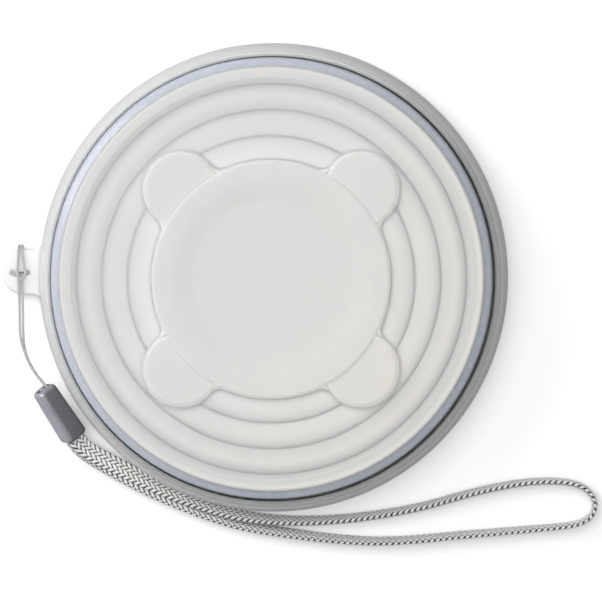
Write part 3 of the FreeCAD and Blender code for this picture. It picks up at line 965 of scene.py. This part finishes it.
# The base cup's outline: a disc and four equal lobes, joined by fillets.
DISC = 23.3
DISC_FLAT = 22.6  # where the disc starts to fall to its edge
LOBE_RADIUS = 7.6
LOBE_MIDDLE = 24.6
LOBE_FILLET = 2.6
LOBE_EDGE = 0.85  # width of the slope along a lobe's edge
EDGE_FALL = 2.7  # from the disc's top to its edge
DISH_DEPTH = 0.7
DISH_RADIUS = 14.5  # where the dish starts to rise to the foot ring
DISH_RISE = 5.6  # width of that rise
LOBE_FALL = 0.75  # from the disc's top down to a lobe
BASE_WALL_OUT = 22.5
BASE_WALL_IN = 20.5
BASE_FLOOR = 17.1  # level of the cup's floor, seen from inside
FILLET_OUT = DISC + LOBE_FILLET
FILLET_APART = LOBE_RADIUS + LOBE_FILLET  # a fillet's centre from the lobe's
FILLET_TURN = math.acos(
    (FILLET_OUT**2 + LOBE_MIDDLE**2 - FILLET_APART**2) / (2 * FILLET_OUT * LOBE_MIDDLE)
)
FILLET_MIDDLE = np.array([math.cos(FILLET_TURN), math.sin(FILLET_TURN)]) * FILLET_OUT
TOUCH = np.array([LOBE_MIDDLE, 0]) + unit(FILLET_MIDDLE - (LOBE_MIDDLE, 0)) * LOBE_RADIUS
TOUCH_TURN = math.atan2(TOUCH[1], TOUCH[0])


def lobe_directions():
    """Directions from a lobe's own to halfway to the next, evenly along the outline."""
    reach = math.atan2(TOUCH[1], TOUCH[0] - LOBE_MIDDLE)
    lobe = arc((LOBE_MIDDLE, 0), LOBE_RADIUS, 0, reach, 26)
    start = math.atan2(*(TOUCH - FILLET_MIDDLE)[::-1])
    fillet = arc(FILLET_MIDDLE, LOBE_FILLET, start, FILLET_TURN - math.pi, 9)[1:]
    angles = [math.atan2(y, x) for x, y in np.concatenate([lobe, fillet])]
    angles += list(np.linspace(FILLET_TURN, TURN / 8, 17)[1:])
    return np.array(angles)


def outline_radius(turn):
    """Radius of the outline in a direction measured from the nearest lobe's."""
    if turn < TOUCH_TURN:
        reach = math.sqrt(LOBE_RADIUS**2 - (LOBE_MIDDLE * math.sin(turn)) ** 2)
        return LOBE_MIDDLE * math.cos(turn) + reach
    if turn < FILLET_TURN:
        off = FILLET_TURN - turn
        reach = math.sqrt(max(LOBE_FILLET**2 - (FILLET_OUT * math.sin(off)) ** 2, 0))
        return FILLET_OUT * math.cos(off) - reach
    return DISC


def from_edge(turn, radius):
    """How far inside the outline a place is."""
    place = np.column_stack([radius * math.cos(turn), radius * math.sin(turn)])
    if turn < TOUCH_TURN:
        return LOBE_RADIUS - np.linalg.norm(place - (LOBE_MIDDLE, 0), axis=1)
    if turn < FILLET_TURN:
        return np.linalg.norm(place - FILLET_MIDDLE, axis=1) - LOBE_FILLET
    return DISC - radius


def foot_profile(radius, top):
    """Level of the disc: a shallow dish inside a foot ring with a rounded outside."""
    rise = np.clip((radius - DISH_RADIUS) / DISH_RISE, 0, 1)
    level = top - DISH_DEPTH + DISH_DEPTH * rise * rise * (3 - 2 * rise)
    over = np.clip((radius - DISC_FLAT) / (DISC - DISC_FLAT), 0, 1)
    return level - EDGE_FALL * over * over * (3 - 2 * over)


def lobe_profile(inside, top):
    """Level of a lobe, by distance from its edge."""
    short = 1 - np.clip(inside / LOBE_EDGE, 0, 1)
    crown = 0.2 * np.clip(inside / LOBE_RADIUS, 0, 1)
    return top - LOBE_FALL + crown - (EDGE_FALL - LOBE_FALL) * short * short * (3 - 2 * short)


def higher(first, second, ease):
    """The higher of two levels, with the join eased."""
    close = np.maximum(ease - np.abs(first - second), 0) / ease
    return np.maximum(first, second) + close**2 * ease / 4


def base_ray(turn, top, foot):
    """The base cup's outline in one direction, from the middle of its top round to its floor."""
    edge = outline_radius(turn)
    start = 21.0
    room = edge - start
    near = np.linspace(0, min(2.4, 0.62 * room), 12)
    last = min(2.0, 0.2 * room)
    rounding = room - last * (1 - np.sin(np.linspace(0, math.pi / 2, 10)))
    between = np.linspace(near[-1], rounding[0], 7)[1:-1]
    outer = start + np.concatenate([near[1:], between, rounding])
    inner = np.array([0, 3, 6, 9, 12, 14, 15, 15.8, 16.5, 17.2, 17.9, 18.6, 19.2, 19.8, 20.4, start])
    radius = np.concatenate([inner, outer])
    level = foot_profile(radius, top)
    lobed = lobe_profile(from_edge(turn, radius), top)
    level = np.where(radius > 20.4, higher(level, lobed, 0.35), level)
    out, inside = BASE_WALL_OUT, BASE_WALL_IN
    inset = min(0.3, (edge - out) * 0.6)
    under = top - 2.9 + 0.3 * min((edge - DISC) / 1.2, 1)
    level = np.maximum(level, under + 0.14)
    side = [(edge + 0.02, under + 0.09), (edge, under + 0.03)]
    side += [(edge - inset * 0.3, under), (edge - inset, under)]
    back = [(out + (edge - inset - out) * share, under) for share in (0.75, 0.5, 0.25)]
    wall = [(out, under), (out, under - 0.3), (out, foot + 0.4)]
    wall += [(out - 0.12, foot + 0.1), (out - 0.4, foot), (inside + 0.4, foot)]
    wall += [(inside + 0.12, foot + 0.1), (inside, foot + 0.4), (inside, BASE_FLOOR - 1.0)]
    wall += [(inside - 0.2, BASE_FLOOR - 0.35), (inside - 0.8, BASE_FLOOR)]
    wall += [(17, BASE_FLOOR), (0, BASE_FLOOR)]
    return np.concatenate([np.column_stack([radius, level]), side, back, wall])


def base_cup():
    """Floor, short wall, foot ring and four generic round lobes, in one soft moulding."""
    low, high = box("base_cup")
    half = lobe_directions()
    turns = np.concatenate([-half[:0:-1], half[:-1]])
    rows = []
    for number in range(4):
        own = TURN * (number + 0.5) / 4
        for turn in turns:
            ray = base_ray(abs(turn), high.z, low.z)
            across = ray[:, 0]
            angle = own + turn
            place = across * math.cos(angle), across * math.sin(angle), ray[:, 1]
            rows.append(np.column_stack(place))
    rows = np.array(rows)
    faces = grid_faces(len(rows), rows.shape[1], True, False)
    mesh = mesh_of("silicone_base", rows.reshape(-1, 3), faces)
    hand_moulded(laid(mesh), 0.06, 8, 9)
    piece = shown(mesh, FOOT_SILICONE)
    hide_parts("base_cup")
    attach(piece, "base")
    return piece


# ---- studio ---------------------------------------------------------------------------------
def floor():
    """A plain pale floor."""
    look = Finish("floor", **{"Specular IOR Level": 0.0, "Emission Strength": 1.0})
    paper = look.mix(look.noise(60, 2.0), (0.94, 0.94, 0.94, 1), (0.95, 0.95, 0.95, 1))
    seen = look.node("ShaderNodeLightPath", {}, {}, "Is Camera Ray")
    base = look.mix(seen, (0.4, 0.4, 0.4, 1), paper)
    glow = look.mix(seen, (0, 0, 0, 1), (0.2, 0.2, 0.2, 1))
    look.set(Base_Color=base, Emission_Color=glow)
    level = cad_low.z / MM - 0.05
    size = 1500
    corners = ((-1, -1), (1, -1), (1, 1), (-1, 1))
    points = [(x * size, y * size, level) for x, y in corners]
    piece = shown(mesh_of("floor", points, [[0, 1, 2, 3]]), look.material)
    return piece


def lamp(name, direction, away, size, watts):
    """A square soft box that faces the cup."""
    light = bpy.data.lights.new(name, "AREA")
    light.shape = "SQUARE"
    light.size = size
    light.energy = watts
    made = bpy.data.objects.new(name, light)
    bpy.context.scene.collection.objects.link(made)
    towards = Vector(direction).normalized()
    made.location = towards * away
    made.rotation_mode = "QUATERNION"
    made.rotation_quaternion = towards.to_track_quat("Z", "Y")
    return made


SIDE = (-0.765, 0.44, 0.47)


def studio(hard_pieces, bead_piece):
    """Soft light from above and the upper left, and an even fill all round.

    Most of the side light falls on the hard pieces only, and the bead has a side light of its own.
    """
    lamp("overhead", (-0.1, 0.1, 1.0), 1.4, 1.4, 15.0)
    lamp("side_light", SIDE, 1.2, 0.7, 2.2)
    for_hard = lamp("side_light_on_hard_pieces", SIDE, 1.2, 0.7, 6.2)
    receivers = bpy.data.collections.new("hard_pieces")
    for piece in hard_pieces:
        receivers.objects.link(piece)
    for_hard.light_linking.receiver_collection = receivers
    for_bead = lamp("side_light_on_bead", (-0.85, 0.05, 0.5), 1.2, 0.5, 44)
    bead_only = bpy.data.collections.new("bead_only")
    bead_only.objects.link(bead_piece)
    for_bead.light_linking.receiver_collection = bead_only
    world = bpy.data.worlds.new("world")
    bpy.context.scene.world = world
    world.use_nodes = True
    sky = world.node_tree.nodes["Background"]
    sky.inputs["Color"].default_value = (1, 1, 1, 1)
    sky.inputs["Strength"].default_value = 0.22
    bpy.context.scene.view_settings.view_transform = "Standard"


# ---- the whole cup --------------------------------------------------------------------------
camera()
string_piece, string_path = string()
strap_piece, strap_core, strap_path = strap()
bead_piece = bead()
hard_pieces = [string_piece, strap_piece, strap_core, bead_piece]
hard_pieces += [lid(), lid_tab(), rim_ring(), floor()]
outer_band()
for band in (3, 2, 1):
    inner_band(band)
base_cup()
BODIES = ["rim", "band_3", "band_2", "band_1", "base"]
for band, outer, inner in zip(BANDS, BODIES, BODIES[1:]):
    fold(band)
studio(hard_pieces, bead_piece)
